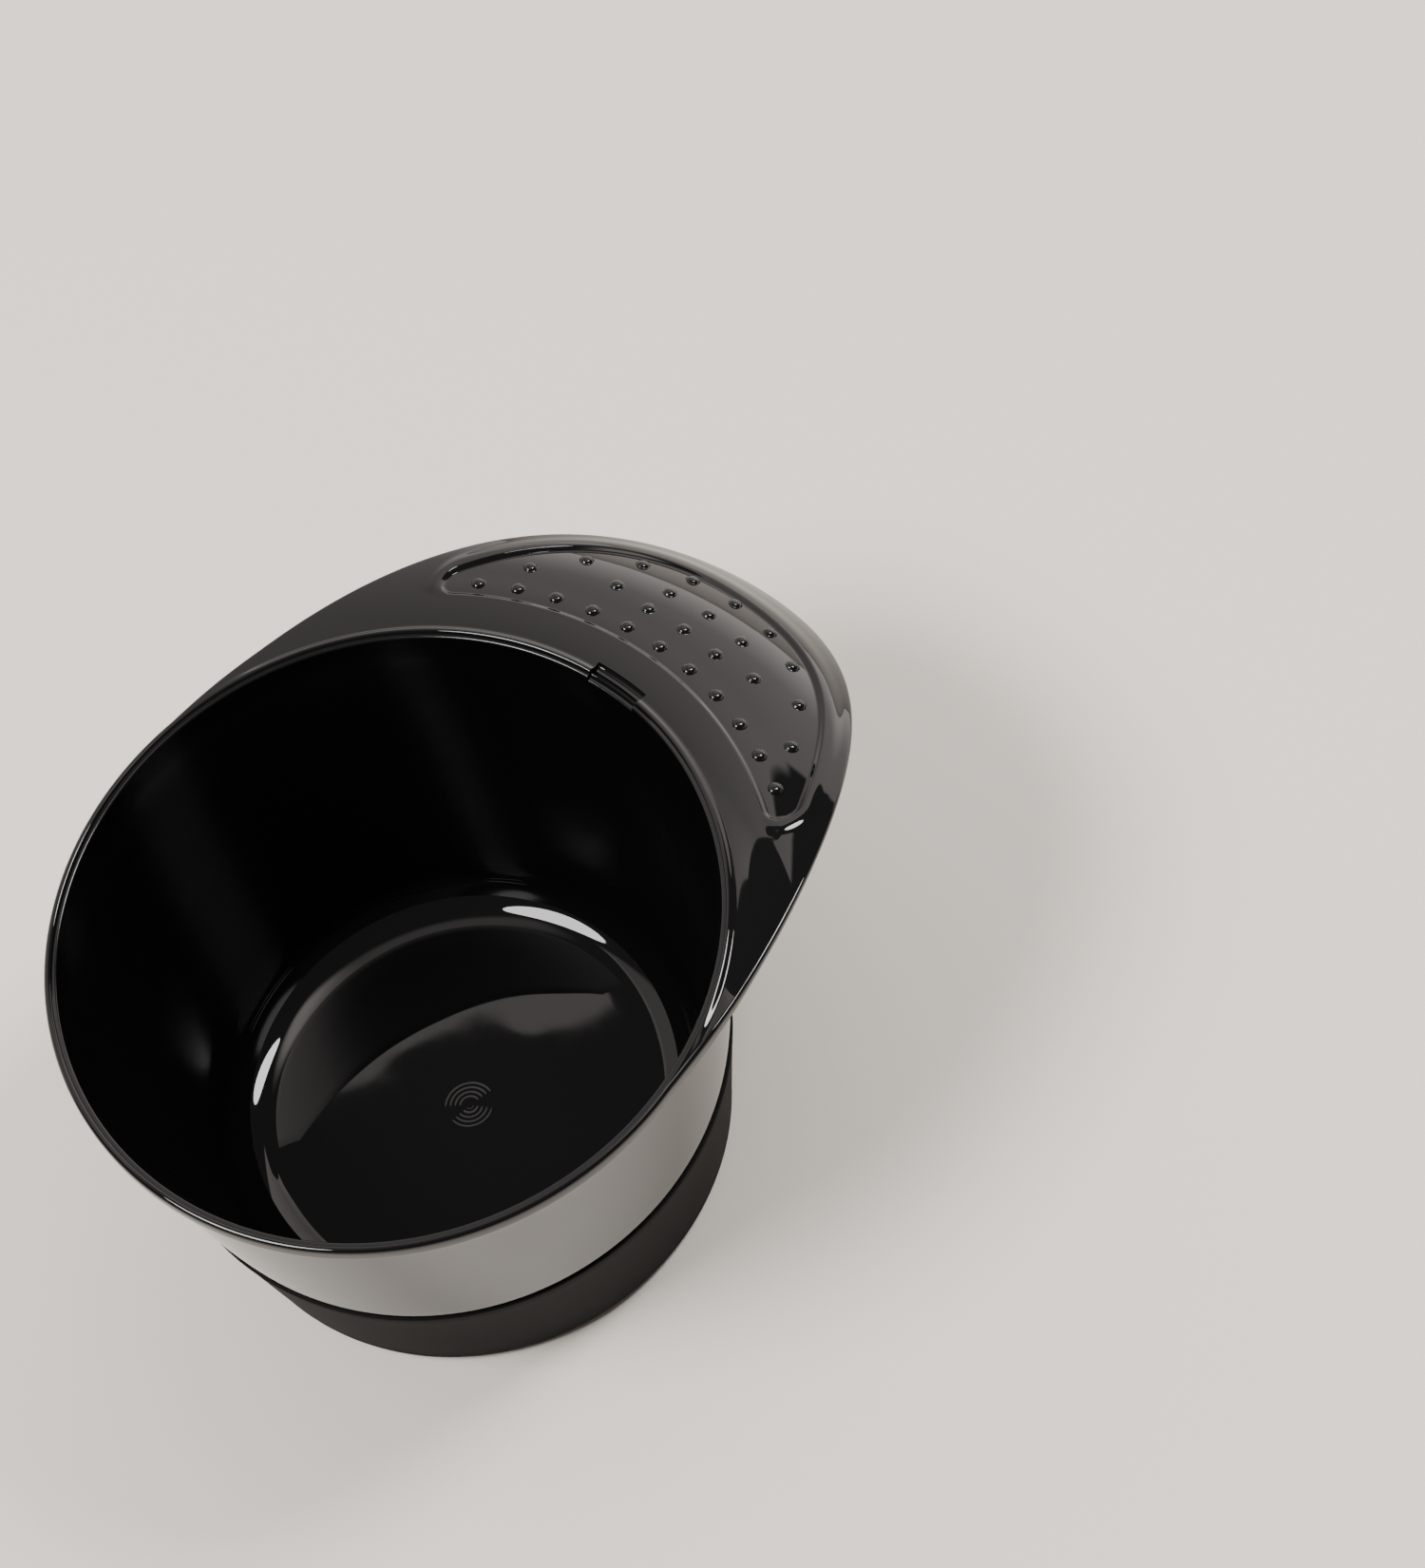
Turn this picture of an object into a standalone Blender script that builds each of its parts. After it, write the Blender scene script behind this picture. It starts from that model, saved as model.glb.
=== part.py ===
"""Hair colour bowl: a moulded bowl with a finger grip, standing in a push-on rubber base ring.

Metres, +Z up. The origin is on the table, under the middle of the whole object, and the
grip points along +X. The bowl is turned about its own axis, which stands at x = BOWL_X.
"""
import math

import bmesh
import bpy
from mathutils import Matrix

MM = 0.001

# Overall sizes
RIM_RADIUS = 60.0 * MM  # outside of the rim bead
HEIGHT = 76.0 * MM  # table to the top of the rim
FOOT_RADIUS = 47.2 * MM  # outer wall's line, carried down to the table
GRIP_LENGTH = 37.0 * MM  # how far the grip reaches out past the rim
GRIP_DROP = 20.7 * MM  # how far the grip has curved down at its tip

# Bowl wall, rim and floor
BEAD_WIDTH = 2.0 * MM
BEAD_DEPTH = 2.6 * MM
BEAD_PROUD = 0.3 * MM
BASE_WALL = 2.7 * MM  # wall beside the floor
FLOOR_THICKNESS = 2.2 * MM
FLOOR_FILLET = 9.3 * MM
FOOT_CHAMFER = 1.2 * MM

# Base ring
RING_HEIGHT = 30.0 * MM
RING_WALL = 1.9 * MM
RING_PROUD = 0.35 * MM  # how far the ring stands out from the bowl's wall
RING_EDGE = 3.0 * MM  # round on the ring's bottom edge
RING_LIP = 0.5 * MM  # round on the ring's top edge
SOLE_THICKNESS = 3.2 * MM
SOLE_WIDTH = 14.0 * MM
FIT_GAP = 0.3 * MM  # between the ring and the bowl

# Grip
BRIM_THICKNESS = 2.0 * MM
BRIM_STEP = 0.6 * MM  # brim's top below the top of the bead, where they meet
BRIM_TUCK = 0.25 * MM  # how far the brim's ends run in under the bead's outside
GRIP_FULLNESS = 0.026  # how far the outline swells past a plain ellipse
PANEL_GAP = 7.0 * MM  # rim to the sunk panel's inner edge
PANEL_TIP_BORDER = 6.0 * MM
PANEL_SIDE_BORDER = 6.5 * MM
PANEL_FULLNESS = 0.06
PANEL_HALF_ANGLE = math.radians(35.5)
PANEL_CORNER = 2.5 * MM
PANEL_DEPTH = 0.8 * MM

# Grip dots, in columns that fan out from the bowl's axis
DOT_RADIUS = 1.05 * MM
DOT_HEIGHT = 0.75 * MM
DOT_COLUMN_STEP = math.radians(6.0)
DOTS_PER_COLUMN = (4, 4, 3, 2, 2, 1)  # from the middle column outwards
DOT_INNER_GAP = 3.5 * MM  # panel's inner edge to the first row
DOT_TIP_GAP = 2.6 * MM  # panel's outer edge to the last dot, in the middle
DOT_SIDE_GAP = 7.0 * MM

# Notch in the rim, in line with the grip
NOTCH_WIDTH = 10.8 * MM
NOTCH_REACH = 1.4 * MM  # past the rim radius
NOTCH_DEPTH = 1.3 * MM

SEGMENTS = 72
OUTLINE_STEPS = 48
OVERSHOOT = 2.0 * MM  # how far a cutter runs past what it cuts
MERGE = 0.01 * MM  # points closer than this are one point

BOWL_X = -GRIP_LENGTH / 2
BRIM_ARC = (GRIP_LENGTH ** 2 + GRIP_DROP ** 2) / (2 * GRIP_DROP)
FLOOR_BOTTOM = SOLE_THICKNESS + FIT_GAP
FLOOR_TOP = FLOOR_BOTTOM + FLOOR_THICKNESS
INNER_RIM = RIM_RADIUS - BEAD_WIDTH


def wall_radius(z):
    """Outer wall of the bowl, a cone from the foot to just under the bead."""
    return FOOT_RADIUS + (RIM_RADIUS - BEAD_PROUD - FOOT_RADIUS) * z / HEIGHT


def ring_outer(z):
    return wall_radius(z) + RING_PROUD


def ring_inner(z):
    return ring_outer(z) - RING_WALL


def foot_radius(z):
    """The bowl's lower wall, inside the ring."""
    return ring_inner(z) - FIT_GAP


def arc(centre_r, centre_z, radius, start, end, steps):
    """Points (r, z) along an arc, angles in radians from +r towards +z."""
    angles = [start + (end - start) * i / steps for i in range(steps + 1)]
    return [(centre_r + radius * math.cos(a), centre_z + radius * math.sin(a)) for a in angles]


def clear_scene():
    for obj in list(bpy.data.objects):
        bpy.data.objects.remove(obj, do_unlink=True)


def new_collection(name):
    collection = bpy.data.collections.new(name)
    bpy.context.scene.collection.children.link(collection)
    return collection


def make_material(name, color, roughness):
    material = bpy.data.materials.new(name)
    material.use_nodes = True
    shader = material.node_tree.nodes["Principled BSDF"]
    shader.inputs["Base Color"].default_value = (*color, 1.0)
    shader.inputs["Roughness"].default_value = roughness
    shader.inputs["Metallic"].default_value = 0.0
    return material


def add_object(name, mesh, collection, location=(0, 0, 0)):
    obj = bpy.data.objects.new(name, mesh)
    obj.location = location
    collection.objects.link(obj)
    return obj


def as_form(obj):
    """Mark an object as a cutter or a form that another object is joined with."""
    obj.hide_render = True
    obj.display_type = "WIRE"
    return obj


def turned(name, profile, collection, closed):
    """Turn an (r, z) profile about the bowl's axis."""
    count = len(profile)
    edges = [(i, i + 1) for i in range(count - 1)]
    if closed:
        edges.append((count - 1, 0))
    mesh = bpy.data.meshes.new(name)
    mesh.from_pydata([(r, 0, z) for r, z in profile], edges, [])
    obj = add_object(name, mesh, collection, (BOWL_X, 0, 0))
    screw = obj.modifiers.new("Turn", "SCREW")
    screw.steps = SEGMENTS
    screw.render_steps = SEGMENTS
    screw.use_merge_vertices = True
    screw.merge_threshold = MERGE
    return obj


def boolean(obj, operation, other):
    modifier = obj.modifiers.new(operation.title(), "BOOLEAN")
    modifier.operation = operation
    modifier.object = other
    modifier.solver = "EXACT"
    weld = obj.modifiers.new("Weld", "WELD")
    weld.merge_threshold = MERGE


def prism(name, outline, low, high, collection):
    """A flat (x, y) outline about the bowl's axis, as a solid from z = low to z = high."""
    curve = bpy.data.curves.new(name, "CURVE")
    curve.dimensions = "2D"
    curve.fill_mode = "BOTH"
    curve.extrude = (high - low) / 2
    spline = curve.splines.new("POLY")
    spline.points.add(len(outline) - 1)
    for point, (x, y) in zip(spline.points, outline):
        point.co = (x, y, 0, 1)
    spline.use_cyclic_u = True
    flat = add_object(name + "_curve", curve, collection, (BOWL_X, 0, (low + high) / 2))
    bpy.context.view_layer.update()
    graph = bpy.context.evaluated_depsgraph_get()
    mesh = bpy.data.meshes.new_from_object(flat.evaluated_get(graph))
    mesh.name = name
    work = bmesh.new()
    work.from_mesh(mesh)
    bmesh.ops.remove_doubles(work, verts=work.verts, dist=MERGE)
    bmesh.ops.recalc_face_normals(work, faces=work.faces)
    work.to_mesh(mesh)
    work.free()
    obj = add_object(name, mesh, collection)
    obj.matrix_world = flat.matrix_world.copy()
    bpy.data.objects.remove(flat, do_unlink=True)
    return as_form(obj)


def swell(reach, half_width, fullness, turn):
    """A point on a half ellipse whose shoulders are filled out; turn is its eccentric angle."""
    scale = 1 + fullness * 4 * math.sin(turn) ** 2 * math.cos(turn) ** 4
    return reach * math.cos(turn) * scale, half_width * math.sin(turn) * scale


def swell_radius(reach, half_width, fullness, angle):
    """Distance from the bowl's axis to that outline, in the direction of a true angle."""
    turn = math.atan2(reach * math.sin(angle), half_width * math.cos(angle))
    return math.hypot(*swell(reach, half_width, fullness, turn))


def inner_foot():
    """Inner wall's radius, carried down to the floor."""
    return foot_radius(FLOOR_TOP) - BASE_WALL


def bowl_profile():
    slope = (INNER_RIM - inner_foot()) / (HEIGHT - FLOOR_TOP)
    lean = math.atan(slope)
    fillet_r = inner_foot() + slope * FLOOR_FILLET - FLOOR_FILLET / math.cos(lean)
    bead_round = BEAD_WIDTH / 2
    shoulder = RING_HEIGHT + FIT_GAP
    below_bead = HEIGHT - BEAD_DEPTH
    points = [(0, FLOOR_TOP)]
    points += arc(fillet_r, FLOOR_TOP + FLOOR_FILLET, FLOOR_FILLET, -math.pi / 2, -lean, 6)
    points += arc(RIM_RADIUS - bead_round, HEIGHT - bead_round, bead_round, math.pi, 0, 6)
    points.append((RIM_RADIUS, below_bead + BEAD_PROUD))
    points.append((wall_radius(below_bead), below_bead))
    points.append((wall_radius(shoulder), shoulder))
    points.append((foot_radius(shoulder), shoulder))
    points.append((foot_radius(FLOOR_BOTTOM + FOOT_CHAMFER), FLOOR_BOTTOM + FOOT_CHAMFER))
    points.append((foot_radius(FLOOR_BOTTOM) - FOOT_CHAMFER, FLOOR_BOTTOM))
    points.append((0, FLOOR_BOTTOM))
    return points


def ring_profile():
    top = RING_HEIGHT
    points = [(ring_inner(top), top)]
    points += arc(ring_outer(top) - RING_LIP, top - RING_LIP, RING_LIP, math.pi / 2, 0, 2)
    points += arc(ring_outer(RING_EDGE) - RING_EDGE, RING_EDGE, RING_EDGE, 0, -math.pi / 2, 5)
    points.append((FOOT_RADIUS - SOLE_WIDTH, 0))
    points.append((FOOT_RADIUS - SOLE_WIDTH, SOLE_THICKNESS))
    points.append((ring_inner(SOLE_THICKNESS), SOLE_THICKNESS))
    return points


def brim_layer(name, below, above, collection):
    """A turned layer that follows the brim's top, from a depth below it to a height above it."""
    centre_z = HEIGHT - BRIM_STEP - BRIM_ARC
    start = math.pi / 2 + (BEAD_WIDTH / 2) / BRIM_ARC
    end = math.pi / 2 - math.asin(GRIP_LENGTH / BRIM_ARC) - OVERSHOOT / BRIM_ARC
    top = arc(RIM_RADIUS, centre_z, BRIM_ARC + above, start, end, 10)
    bottom = arc(RIM_RADIUS, centre_z, BRIM_ARC - below, end, start, 10)
    return as_form(turned(name, top + bottom, collection, closed=True))


def grip_outline():
    reach = RIM_RADIUS + GRIP_LENGTH
    turns = [math.pi * (i / OUTLINE_STEPS - 0.5) for i in range(OUTLINE_STEPS + 1)]
    return [swell(reach, RIM_RADIUS - BRIM_TUCK, GRIP_FULLNESS, turn) for turn in turns]


def panel_radius(angle):
    reach = RIM_RADIUS + GRIP_LENGTH - PANEL_TIP_BORDER
    return swell_radius(reach, RIM_RADIUS - PANEL_SIDE_BORDER, PANEL_FULLNESS, angle)


def round_corner(before, corner, after, radius, steps=3):
    """Points of the smooth curve that rounds a corner of a flat outline."""
    legs = [math.hypot(p[0] - corner[0], p[1] - corner[1]) for p in (before, after)]
    units = [((p[0] - corner[0]) / leg, (p[1] - corner[1]) / leg) for p, leg in zip((before, after), legs)]
    half = math.acos(units[0][0] * units[1][0] + units[0][1] * units[1][1]) / 2
    cut = radius / math.tan(half)
    start, end = [(corner[0] + u[0] * cut, corner[1] + u[1] * cut) for u in units]
    points = []
    for i in range(steps + 1):
        t = i / steps
        keep = ((1 - t) ** 2, 2 * t * (1 - t), t ** 2)
        points.append(tuple(keep[0] * s + keep[1] * c + keep[2] * e for s, c, e in zip(start, corner, end)))
    return points


def panel_outline():
    inner = RIM_RADIUS + PANEL_GAP
    corner_angle = PANEL_CORNER * 1.5 / inner

    def at(radius, angle):
        return radius * math.cos(angle), radius * math.sin(angle)

    limit = PANEL_HALF_ANGLE - corner_angle
    angles = [limit * (i / 10 - 1) for i in range(21)]
    outer_edge = [at(panel_radius(a), a) for a in angles]
    inner_edge = [at(inner, a) for a in reversed(angles)]
    outer_corner = at(panel_radius(PANEL_HALF_ANGLE), PANEL_HALF_ANGLE)
    inner_corner = at(inner, PANEL_HALF_ANGLE)
    round_outer = round_corner(outer_edge[-1], outer_corner, inner_corner, PANEL_CORNER)
    round_inner = round_corner(outer_corner, inner_corner, inner_edge[0], PANEL_CORNER)
    mirrored = [(x, -y) for x, y in reversed(round_outer + round_inner)]
    return outer_edge + round_outer + round_inner + inner_edge + mirrored


def dot_places():
    """Radius and angle of each dot."""
    inner = RIM_RADIUS + PANEL_GAP + DOT_INNER_GAP
    reach = RIM_RADIUS + GRIP_LENGTH - PANEL_TIP_BORDER - DOT_TIP_GAP
    half_width = RIM_RADIUS - PANEL_SIDE_BORDER - DOT_SIDE_GAP
    places = []
    for column, count in enumerate(DOTS_PER_COLUMN):
        angle = column * DOT_COLUMN_STEP
        outer = swell_radius(reach, half_width, PANEL_FULLNESS, angle)
        for i in range(count):
            radius = inner + (outer - inner) * i / max(count - 1, 1)
            places += [(radius, side) for side in {angle, -angle}]
    return sorted(places)


def grip_dots(collection):
    """Flattened balls, set into the sunk panel and square to it."""
    sunk_arc = BRIM_ARC - PANEL_DEPTH
    work = bmesh.new()
    for radius, angle in dot_places():
        tilt = math.asin((radius - RIM_RADIUS) / sunk_arc)
        z = HEIGHT - BRIM_STEP - BRIM_ARC + sunk_arc * math.cos(tilt)
        place = Matrix.Rotation(angle, 4, "Z") @ Matrix.Translation((radius, 0, z))
        flatten = Matrix.Diagonal((1, 1, DOT_HEIGHT / DOT_RADIUS, 1))
        matrix = place @ Matrix.Rotation(tilt, 4, "Y") @ flatten
        bmesh.ops.create_uvsphere(work, u_segments=8, v_segments=6, radius=DOT_RADIUS, matrix=matrix)
    mesh = bpy.data.meshes.new("grip_dots_form")
    work.to_mesh(mesh)
    work.free()
    return as_form(add_object("grip_dots_form", mesh, collection, (BOWL_X, 0, 0)))


def notch_cutter(collection):
    inner = INNER_RIM - OVERSHOOT
    outer = RIM_RADIUS + NOTCH_REACH
    low = HEIGHT - NOTCH_DEPTH
    high = HEIGHT + OVERSHOOT
    work = bmesh.new()
    size = Matrix.Diagonal((outer - inner, NOTCH_WIDTH, high - low, 1))
    place = Matrix.Translation(((outer + inner) / 2, 0, (low + high) / 2))
    bmesh.ops.create_cube(work, size=1, matrix=place @ size)
    mesh = bpy.data.meshes.new("notch_cutter")
    work.to_mesh(mesh)
    work.free()
    return as_form(add_object("notch_cutter", mesh, collection, (BOWL_X, 0, 0)))


def finish(obj, material):
    obj.data.materials.append(material)
    obj.data.shade_smooth()
    obj.data.set_sharp_from_angle(angle=math.radians(35))


def make_bowl(parts, forms, material):
    bowl = turned("bowl_shell", bowl_profile(), parts, closed=False)
    low = HEIGHT - GRIP_DROP * 2
    high = HEIGHT + OVERSHOOT
    brim = brim_layer("brim_form", BRIM_THICKNESS, 0, forms)
    boolean(brim, "INTERSECT", prism("grip_outline_form", grip_outline(), low, high, forms))
    panel = brim_layer("panel_cutter", PANEL_DEPTH, OVERSHOOT, forms)
    boolean(panel, "INTERSECT", prism("panel_outline_form", panel_outline(), low, high, forms))
    boolean(bowl, "UNION", brim)
    boolean(bowl, "DIFFERENCE", panel)
    boolean(bowl, "UNION", grip_dots(forms))
    boolean(bowl, "DIFFERENCE", notch_cutter(forms))
    finish(bowl, material)


def make_ring(parts, material):
    ring = turned("base_ring", ring_profile(), parts, closed=True)
    finish(ring, material)


def main():
    clear_scene()
    parts = new_collection("hair_color_bowl")
    forms = new_collection("cutters")
    make_bowl(parts, forms, make_material("Gloss black polypropylene", (0.010, 0.010, 0.011), 0.12))
    make_ring(parts, make_material("Matt black rubber", (0.018, 0.018, 0.018), 0.5))


main()
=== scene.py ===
import math

import bpy
from mathutils import Matrix, Vector


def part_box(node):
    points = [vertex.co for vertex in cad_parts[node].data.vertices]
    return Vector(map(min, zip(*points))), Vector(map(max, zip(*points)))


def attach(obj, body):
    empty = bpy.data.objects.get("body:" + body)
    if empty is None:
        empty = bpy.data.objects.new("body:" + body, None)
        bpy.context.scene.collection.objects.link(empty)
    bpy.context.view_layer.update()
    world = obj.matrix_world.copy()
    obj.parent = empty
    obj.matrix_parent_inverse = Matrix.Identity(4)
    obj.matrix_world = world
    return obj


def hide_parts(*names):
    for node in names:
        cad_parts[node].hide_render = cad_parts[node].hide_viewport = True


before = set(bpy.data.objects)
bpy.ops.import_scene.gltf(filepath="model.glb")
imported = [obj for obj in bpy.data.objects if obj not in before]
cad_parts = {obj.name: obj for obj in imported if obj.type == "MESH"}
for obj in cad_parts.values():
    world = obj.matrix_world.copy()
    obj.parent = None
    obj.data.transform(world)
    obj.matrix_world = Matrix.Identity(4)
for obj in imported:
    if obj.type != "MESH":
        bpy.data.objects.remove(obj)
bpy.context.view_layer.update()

# A salon tint bowl: a gloss bowl with a dotted finger grip, and a rubber ring on its foot.
# Lengths are in millimetres and angles in radians until they reach a mesh, which is in metres.
MM = 0.001
BOWL_LOW, BOWL_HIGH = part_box("bowl_shell")
RING_LOW, RING_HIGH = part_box("base_ring")

# Bowl. The first four sizes come from the frame.
RIM_RADIUS = (BOWL_HIGH.y - BOWL_LOW.y) / 2 / MM
HEIGHT = BOWL_HIGH.z / MM
BOWL_X = BOWL_LOW.x / MM + RIM_RADIUS
GRIP_LENGTH = (BOWL_HIGH.x - BOWL_LOW.x) / MM - 2 * RIM_RADIUS
GRIP_DROP = 20.7
FOOT_RADIUS = 47.2
FOOT_TOE = 1.2
FOOT_ROWS = (40.0, 34.0, 24.0, 12.0, 4.0, 0.0)
WALL_BESIDE_FLOOR = 2.7
FLOOR_BOTTOM = BOWL_LOW.z / MM
FLOOR_TOP = FLOOR_BOTTOM + 2.2
FLOOR_FILLET = 9.3
FLOOR_ROWS = (4.8, 6.0, 10.0, 16.0, 22.0, 28.0, 32.0)

# Faint rings that the mould's gate leaves in the floor's middle, each with (distance out, share of height)
GATE_RINGS = 5
GATE_FIRST = 0.45
GATE_PITCH = 0.9
GATE_HEIGHT = 0.007
GATE_PROFILE = ((0.0, 0), (0.22, 1), (0.38, 1), (0.6, 0))

# The rim's bead, with a small lip and ledge on its inner side
RIM_WALL = 2.0
BEAD_OUT = 0.8
BEAD_LIP = 0.5
BEAD_LIP_DROP = 1.05
BEAD_LEDGE = 0.52
BEAD_LEDGE_DROP = 0.02
BEAD_ROUND = 0.56
BEAD_PROUD = 0.3
BEAD_DEPTH = 2.6
BEAD_LOW_ROUND = 0.25
BEAD_FILLET = 0.15

# Base ring
RING_HEIGHT = RING_HIGH.z / MM
RING_PROUD = 0.35
RING_WALL = 1.9
FIT_GAP = 0.3
RING_LIP = 0.5
RING_TOP_ROUND = 0.25
RING_EDGE = 3.0
SHOULDER_ROUND = 0.3
SOLE_THICKNESS = 3.2
SOLE_INNER = FOOT_RADIUS - 14.0
SOLE_LOW_ROUND = 0.5
SOLE_TOP_ROUND = 0.3
SOLE_FILLET = 0.5

# Grip
BRIM_THICKNESS = 2.0
BRIM_STEP = 0.6
BRIM_ARC = (GRIP_LENGTH ** 2 + GRIP_DROP ** 2) / (2 * GRIP_DROP)
BRIM_CENTRE_Z = HEIGHT - BRIM_STEP - BRIM_ARC
SHOULDER_WIDTH = 1.2
GRIP_INSET = 0.25
GRIP_FULLNESS = 0.026
GRIP_ROUND = 0.75
GRIP_LOW_ROUND = 0.7
GRIP_FILLET = 1.6
# The rim's bead turns into the brim over these widths of brim.
BEAD_FADE = 4.0
BRIM_GROWTH = 6.0
PANEL_INNER = RIM_RADIUS + 7.0
PANEL_REACH = RIM_RADIUS + GRIP_LENGTH - 6.0
PANEL_HALF_WIDTH = RIM_RADIUS - 6.5
PANEL_FULLNESS = 0.06
PANEL_HALF_ANGLE = math.radians(35.5)
PANEL_LAST = math.radians(38.5)
PANEL_CORNER = 2.5
PANEL_DEPTH = 0.8
PANEL_DEPTH_INNER = 0.42
PANEL_DEPTH_BLEND = 7.0
PANEL_STEP = 0.95
PANEL_STEP_INNER = 1.2
PANEL_STEP_BLEND = 3.0
# A low ridge runs round the panel's outline and fades out along its inner edge.
RIDGE_HEIGHT = 0.19
RIDGE_MIDDLE = -1.1
RIDGE_HALF = 2.0
RIDGE_START = 0.5
RIDGE_BLEND = 3.0
DOT_RADIUS = 1.25
DOT_HEIGHT = 0.78
DOT_SINK = 0.02
DOT_ROOT = 0.3
DOT_COLUMNS = (4, 4, 3, 2, 2, 1)
DOT_COLUMN_ANGLE = math.radians(6.0)
DOT_MARGIN_INNER = 3.5
DOT_MARGIN_OUTER = 2.6
DOT_MARGIN_SIDE = 7.0

# Notch in the rim, at the middle of the grip
NOTCH_HALF_ANGLE = math.radians(5.2)
NOTCH_SOFT_ANGLE = math.radians(0.12)
NOTCH_OUTER = RIM_RADIUS + 1.4
NOTCH_LIP = 0.95
NOTCH_FALL = 0.2
NOTCH_SAG = 0.5

QUARTER = math.pi / 2
MERGE_DISTANCE = 1e-6
ANGLE_STEP = 0.01
SLOPE_STEP = 0.4
SHARP_EDGE = math.radians(38)
SHARP_EDGE_DOTS = math.radians(50)
DOT_STEPS = 24
RING_STEPS = 180
# Half a turn of the bowl as (degrees, steps), from the grip's middle; the steps are finest at the notch
HALF_TURN = [(5.0, 5), (0.45, 6), (26.85, 27), (5.6, 28), (52.1, 46), (90.0, 50)]

# Gloss polypropylene: shrinkage waves, patches of haze, and the scuffed inner wall
PLASTIC_IOR = 1.5
WAVE_LENGTH = 18.0
WAVE_DEPTH = 0.045
HAZE_PATCH = 9.0
GLOSS_CLEAR = 0.012
GLOSS_HAZY = 0.028
SCUFF_ROUGHNESS = 0.13
SCUFF_START = 12.0
SCUFF_FULL = 18.0
MASK_MARGIN = 0.3

# Satin rubber
RUBBER_IOR = 1.5
GRAIN_WIDTH = 0.5
GRAIN_DEPTH = 0.03

# Camera, in millimetres, and studio, in metres
CAMERA_PLACE = Vector((BOWL_X - 169.88, -377.12, 772.30))
CAMERA_AIM = Vector((BOWL_X + 54.63, -27.01, 75.81))
CAMERA_ROLL = math.radians(-18.36)
SOFTBOX_DISTANCE = 1.8
ROOM_LEVEL = 0.18

# Settings that several nodes share
SMOOTHSTEP = {"interpolation_type": "SMOOTHSTEP"}
MULTIPLY = {"operation": "MULTIPLY"}
MULTIPLY_ADD = {"operation": "MULTIPLY_ADD"}
SUBTRACT = {"operation": "SUBTRACT"}
DOT_PRODUCT = {"operation": "DOT_PRODUCT"}


def smooth(t):
    t = min(max(t, 0.0), 1.0)
    return t * t * (3 - 2 * t)


def lerp(a, b, t):
    return a + (b - a) * t


def wall_radius(z):
    """Outer wall of the bowl, a cone."""
    return FOOT_RADIUS + (RIM_RADIUS - BEAD_PROUD - FOOT_RADIUS) * z / HEIGHT


def foot_radius(z):
    """The bowl's lower wall, inside the ring."""
    return wall_radius(z) + RING_PROUD - RING_WALL - FIT_GAP


INNER_FOOT = foot_radius(FLOOR_TOP) - WALL_BESIDE_FLOOR
INNER_RIM = RIM_RADIUS - RIM_WALL
CREST = RIM_RADIUS - BEAD_OUT
INNER_SLOPE = (INNER_RIM - INNER_FOOT) / (HEIGHT - FLOOR_TOP)
INNER_LEAN = math.atan(INNER_SLOPE)


def inner_radius(z):
    return INNER_FOOT + INNER_SLOPE * (z - FLOOR_TOP)


def swell_radius(reach, half_width, fullness, angle):
    """Distance from the bowl's axis to a half ellipse with filled-out shoulders."""
    turn = math.atan2(reach * math.sin(angle), half_width * math.cos(angle))
    scale = 1 + fullness * 4 * math.sin(turn) ** 2 * math.cos(turn) ** 4
    return math.hypot(reach * math.cos(turn), half_width * math.sin(turn)) * scale


def grip_radius(angle):
    """Outer edge of the bowl seen from above: the rim, swelling out into the grip."""
    if abs(angle) >= QUARTER:
        return RIM_RADIUS
    grip = swell_radius(RIM_RADIUS + GRIP_LENGTH, RIM_RADIUS - GRIP_INSET, GRIP_FULLNESS, angle)
    return max(RIM_RADIUS, grip)


def panel_radius(angle):
    return swell_radius(PANEL_REACH, PANEL_HALF_WIDTH, PANEL_FULLNESS, angle)


def brim_top(r, merge):
    """Height of the rim and brim's top face; merge is 1 where there is only the rim's bead."""
    out = max(r - RIM_RADIUS, 0.0)
    dome = BRIM_CENTRE_Z + math.sqrt(BRIM_ARC ** 2 - out ** 2)
    z = lerp(HEIGHT, dome, smooth((r - CREST) / SHOULDER_WIDTH))
    return lerp(z, HEIGHT, merge)


def panel_depth(r):
    """The dotted panel is sunk less along its inner edge."""
    return lerp(PANEL_DEPTH_INNER, PANEL_DEPTH, smooth((r - PANEL_INNER) / PANEL_DEPTH_BLEND))


def panel_sink(r, angle):
    """How far the dotted panel has sunk below the brim at this place."""
    if abs(angle) > PANEL_LAST:
        return 0.0
    inside = r - PANEL_INNER
    spread = panel_radius(angle + ANGLE_STEP) - panel_radius(angle - ANGLE_STEP)
    slope = spread / (2 * ANGLE_STEP * r)
    outside = (panel_radius(angle) - r) / math.hypot(1, slope)
    side = r * math.sin(PANEL_HALF_ANGLE - abs(angle))
    shorts = [max(PANEL_CORNER - d, 0.0) for d in (inside, outside, side)]
    depth = PANEL_CORNER - math.sqrt(sum(s * s for s in shorts))
    across = min(abs(depth - RIDGE_MIDDLE) / RIDGE_HALF, 1.0)
    ridge = RIDGE_HEIGHT * (1 - smooth(across)) * smooth((r - PANEL_INNER + RIDGE_START) / RIDGE_BLEND)
    step_width = lerp(PANEL_STEP_INNER, PANEL_STEP, smooth(inside / PANEL_STEP_BLEND))
    return panel_depth(r) * smooth(depth / step_width) - ridge


def notch_share(angle):
    return smooth((NOTCH_HALF_ANGLE + NOTCH_SOFT_ANGLE - abs(angle)) / (2 * NOTCH_SOFT_ANGLE))


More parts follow.
